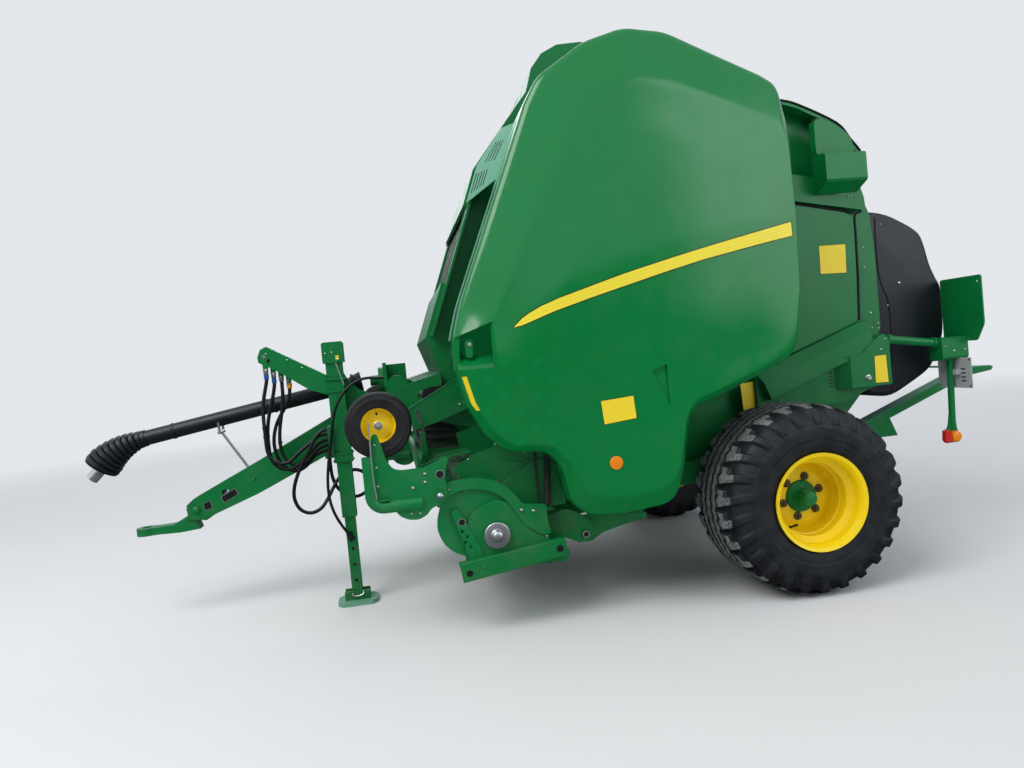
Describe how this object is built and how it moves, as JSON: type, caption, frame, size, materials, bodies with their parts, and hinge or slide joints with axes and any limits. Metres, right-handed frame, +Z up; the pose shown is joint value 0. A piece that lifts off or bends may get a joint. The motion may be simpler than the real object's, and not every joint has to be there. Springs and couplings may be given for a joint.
{
  "type": "round baler",
  "caption": "Round baler with a tined pickup, gull-wing side shields, a lifting tailgate, a bale ramp and a parking jack.",
  "frame": {"origin": "middle of the bounding box on the ground", "axes": "+X rearward, -Y the machine's left side, +Z up"},
  "size_m": [5.2782, 2.488, 2.91],
  "materials": {
    "green_paint": "glossy",
    "yellow_paint": "glossy",
    "tyre_rubber": "worn",
    "black_plastic": "satin",
    "green_plastic": "glossy",
    "bright_steel": "zinc",
    "belt_rubber": "ribbed",
    "lamp_orange": "clear"
  },
  "bodies": {
    "chassis": {"chamber_frame": "green_paint", "pickup_carriers": "green_paint", "axle_beam": "green_paint", "roof_panel": "green_paint", "front_panel": "green_paint", "drawbar": "green_paint", "hitch_eye": "green_paint", "jack_mast": "green_paint", "hose_arm": "green_paint", "gearbox": "green_paint", "platform": "green_paint", "side_guards": "green_paint", "lift_springs": "bright_steel", "front_rollers": "bright_steel", "front_belts": "belt_rubber", "hose_1": "black_plastic", "hose_2": "black_plastic", "hose_3": "black_plastic", "hose_4": "black_plastic", "hose_loop": "black_plastic", "lamp_cable": "black_plastic", "lamp_plug": "black_plastic"},
    "rotor": {"feed_rotor": "green_paint"},
    "jack": {"jack_leg": "green_paint"},
    "drive_shaft": {"pto_guard": "black_plastic", "pto_bellows": "black_plastic", "pto_yoke": "bright_steel"},
    "wheel_left": {"tyre_left": "tyre_rubber", "rim_left": "yellow_paint", "hub_left": "green_paint"},
    "wheel_right": {"tyre_right": "tyre_rubber", "rim_right": "yellow_paint", "hub_right": "green_paint"},
    "left_shield": {"shield_left": "green_plastic"},
    "right_shield": {"shield_right": "green_plastic"},
    "tailgate": {"tailgate_frame": "green_paint", "gate_covers": "green_paint", "net_hood": "black_plastic", "rear_rollers": "bright_steel", "rear_belts": "belt_rubber", "light_brackets": "green_paint", "marker_boards": "green_paint", "plate_holders": "bright_steel", "rear_lamps": "lamp_orange"},
    "pickup": {"pickup_frame": "green_paint", "stripper_bands": "green_paint"},
    "reel": {"tine_reel": "bright_steel"},
    "windguard_body": {"windguard_arms": "green_paint", "windguard": "green_paint", "windguard_tines": "green_paint"},
    "gauge_left": {"gauge_tyre_left": "tyre_rubber", "gauge_rim_left": "yellow_paint"},
    "gauge_right": {"gauge_tyre_right": "tyre_rubber", "gauge_rim_right": "yellow_paint"},
    "ramp": {"bale_ramp": "green_paint"}
  },
  "joints": [
    {"name": "jack_slide", "type": "slide", "parent": "chassis", "child": "jack", "axis": [0, 0, 1], "range_m": [0, 0.3]},
    {"name": "drive_shaft_lift", "type": "hinge", "parent": "chassis", "child": "drive_shaft", "pos_m": [-1.073, 0, 1.235], "axis": [0, 1, 0], "range_deg": [0, 20]},
    {"name": "wheel_left_spin", "type": "hinge", "parent": "chassis", "child": "wheel_left", "pos_m": [1.027, -0.99, 0.466], "axis": [0, 1, 0], "continuous": true},
    {"name": "wheel_right_spin", "type": "hinge", "parent": "chassis", "child": "wheel_right", "pos_m": [1.027, 0.99, 0.466], "axis": [0, 1, 0], "continuous": true},
    {"name": "rotor_spin", "type": "hinge", "parent": "chassis", "child": "rotor", "pos_m": [-0.153, 0, 0.7], "axis": [0, 1, 0], "continuous": true},
    {"name": "left_shield_lift", "type": "hinge", "parent": "chassis", "child": "left_shield", "pos_m": [0.427, -0.78, 2.58], "axis": [-1, 0, 0], "range_deg": [0, 60]},
    {"name": "right_shield_lift", "type": "hinge", "parent": "chassis", "child": "right_shield", "pos_m": [0.427, 0.78, 2.58], "axis": [1, 0, 0], "range_deg": [0, 60]},
    {"name": "tailgate_lift", "type": "hinge", "parent": "chassis", "child": "tailgate", "pos_m": [0.987, 0, 2.64], "axis": [0, -1, 0], "range_deg": [0, 60]},
    {"name": "pickup_lower", "type": "hinge", "parent": "chassis", "child": "pickup", "pos_m": [-0.056, 0, 0.39], "axis": [0, -1, 0], "range_deg": [0, 10]},
    {"name": "reel_spin", "type": "hinge", "parent": "pickup", "child": "reel", "pos_m": [-0.507, 0, 0.466], "axis": [0, 1, 0], "continuous": true},
    {"name": "windguard_lower", "type": "hinge", "parent": "pickup", "child": "windguard_body", "pos_m": [-0.755, 0, 0.688], "axis": [0, -1, 0], "range_deg": [0, 15]},
    {"name": "gauge_left_spin", "type": "hinge", "parent": "windguard_body", "child": "gauge_left", "pos_m": [-1.004, -0.948, 1.038], "axis": [0, 1, 0], "continuous": true},
    {"name": "gauge_right_spin", "type": "hinge", "parent": "windguard_body", "child": "gauge_right", "pos_m": [-1.004, 0.948, 1.038], "axis": [0, 1, 0], "continuous": true},
    {"name": "ramp_lower", "type": "hinge", "parent": "chassis", "child": "ramp", "pos_m": [1.372, 0, 0.6], "axis": [0, 1, 0], "range_deg": [0, 24]}
  ]
}
